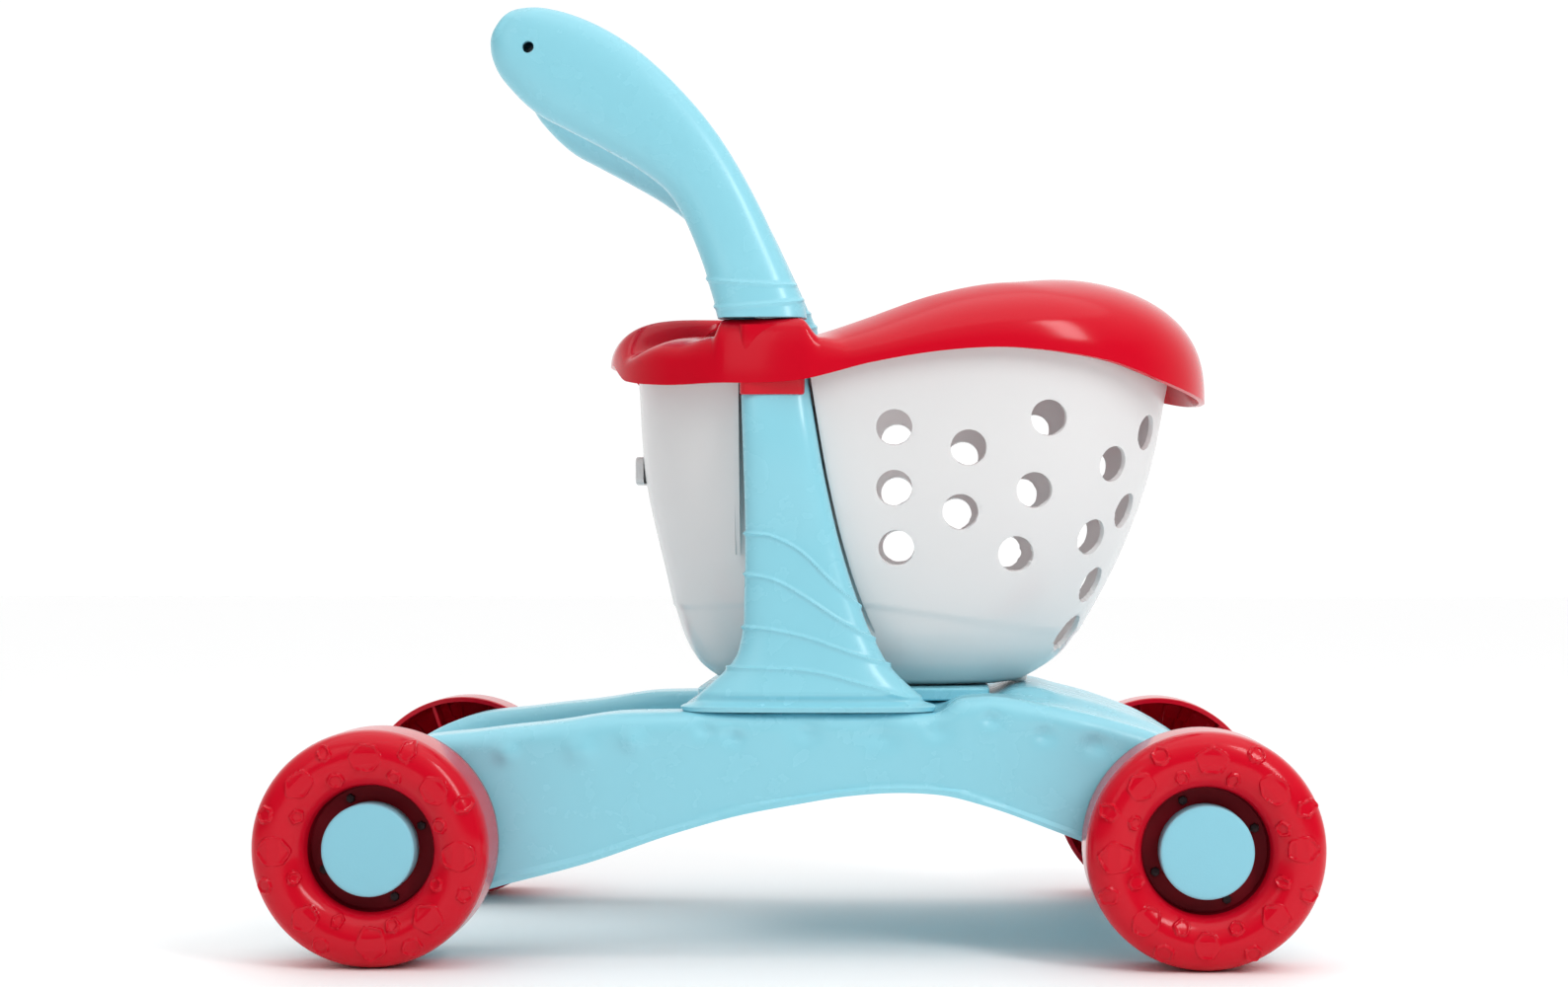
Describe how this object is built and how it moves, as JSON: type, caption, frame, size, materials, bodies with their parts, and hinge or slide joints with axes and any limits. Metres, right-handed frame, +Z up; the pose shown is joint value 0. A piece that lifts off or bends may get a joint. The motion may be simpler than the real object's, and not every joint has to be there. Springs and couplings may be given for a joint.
{
  "type": "toy shopping cart",
  "caption": "Child's push-along shopping cart: open plastic basket with a flared rim on two pillars, curved push handle and free-rolling wheels.",
  "frame": {"origin": "on the floor, midway between the front and rear axles and between the left and right wheels", "axes": "+X forward, away from the handle; +Y to the cart's left; +Z up"},
  "size_m": [0.516, 0.32, 0.4746],
  "materials": {
    "blue_plastic": "semi-gloss light blue moulded plastic",
    "red_plastic": "glossy red moulded plastic",
    "dark_red_plastic": "dark red moulded plastic",
    "white_plastic": "smooth off-white moulded plastic",
    "steel": "zinc-plated steel"
  },
  "bodies": {
    "frame": {"base_shell": "blue_plastic", "centre_deck": "blue_plastic", "basket_tub": "white_plastic", "basket_rim": "red_plastic", "rear_plug": "white_plastic", "grip_bar": "blue_plastic", "pillar_left": "blue_plastic", "handle_peg_left": "steel", "handle_outer_left": "blue_plastic", "handle_inner_left": "blue_plastic", "grip_screw_left": "steel", "pillar_screw_left_1": "steel", "pillar_screw_left_2": "steel", "basket_screw_left_1": "steel", "basket_screw_left_2": "steel", "axle_pin_front_left": "steel", "axle_washer_front_left": "steel", "axle_pin_rear_left": "steel", "axle_washer_rear_left": "steel", "pillar_right": "blue_plastic", "handle_peg_right": "steel", "handle_outer_right": "blue_plastic", "handle_inner_right": "blue_plastic", "grip_screw_right": "steel", "pillar_screw_right_1": "steel", "pillar_screw_right_2": "steel", "basket_screw_right_1": "steel", "basket_screw_right_2": "steel", "axle_pin_front_right": "steel", "axle_washer_front_right": "steel", "axle_pin_rear_right": "steel", "axle_washer_rear_right": "steel"},
    "wheel_front_left": {"wheel_shell_front_left": "red_plastic", "wheel_core_front_left": "dark_red_plastic", "hub_cap_front_left": "blue_plastic", "wheel_screw_front_left_1": "steel", "wheel_screw_front_left_2": "steel", "wheel_screw_front_left_3": "steel", "wheel_screw_front_left_4": "steel"},
    "wheel_front_right": {"wheel_shell_front_right": "red_plastic", "wheel_core_front_right": "dark_red_plastic", "hub_cap_front_right": "blue_plastic", "wheel_screw_front_right_1": "steel", "wheel_screw_front_right_2": "steel", "wheel_screw_front_right_3": "steel", "wheel_screw_front_right_4": "steel"},
    "wheel_rear_left": {"wheel_shell_rear_left": "red_plastic", "wheel_core_rear_left": "dark_red_plastic", "hub_cap_rear_left": "blue_plastic", "wheel_screw_rear_left_1": "steel", "wheel_screw_rear_left_2": "steel", "wheel_screw_rear_left_3": "steel", "wheel_screw_rear_left_4": "steel"},
    "wheel_rear_right": {"wheel_shell_rear_right": "red_plastic", "wheel_core_rear_right": "dark_red_plastic", "hub_cap_rear_right": "blue_plastic", "wheel_screw_rear_right_1": "steel", "wheel_screw_rear_right_2": "steel", "wheel_screw_rear_right_3": "steel", "wheel_screw_rear_right_4": "steel"}
  },
  "joints": [
    {"name": "wheel_spin_front_left", "type": "hinge", "parent": "frame", "child": "wheel_front_left", "pos_m": [0.2005, 0.139, 0.0575], "axis": [0, 1, 0], "continuous": true},
    {"name": "wheel_spin_front_right", "type": "hinge", "parent": "frame", "child": "wheel_front_right", "pos_m": [0.2005, -0.139, 0.0575], "axis": [0, 1, 0], "continuous": true},
    {"name": "wheel_spin_rear_left", "type": "hinge", "parent": "frame", "child": "wheel_rear_left", "pos_m": [-0.2005, 0.139, 0.0575], "axis": [0, 1, 0], "continuous": true},
    {"name": "wheel_spin_rear_right", "type": "hinge", "parent": "frame", "child": "wheel_rear_right", "pos_m": [-0.2005, -0.139, 0.0575], "axis": [0, 1, 0], "continuous": true}
  ]
}
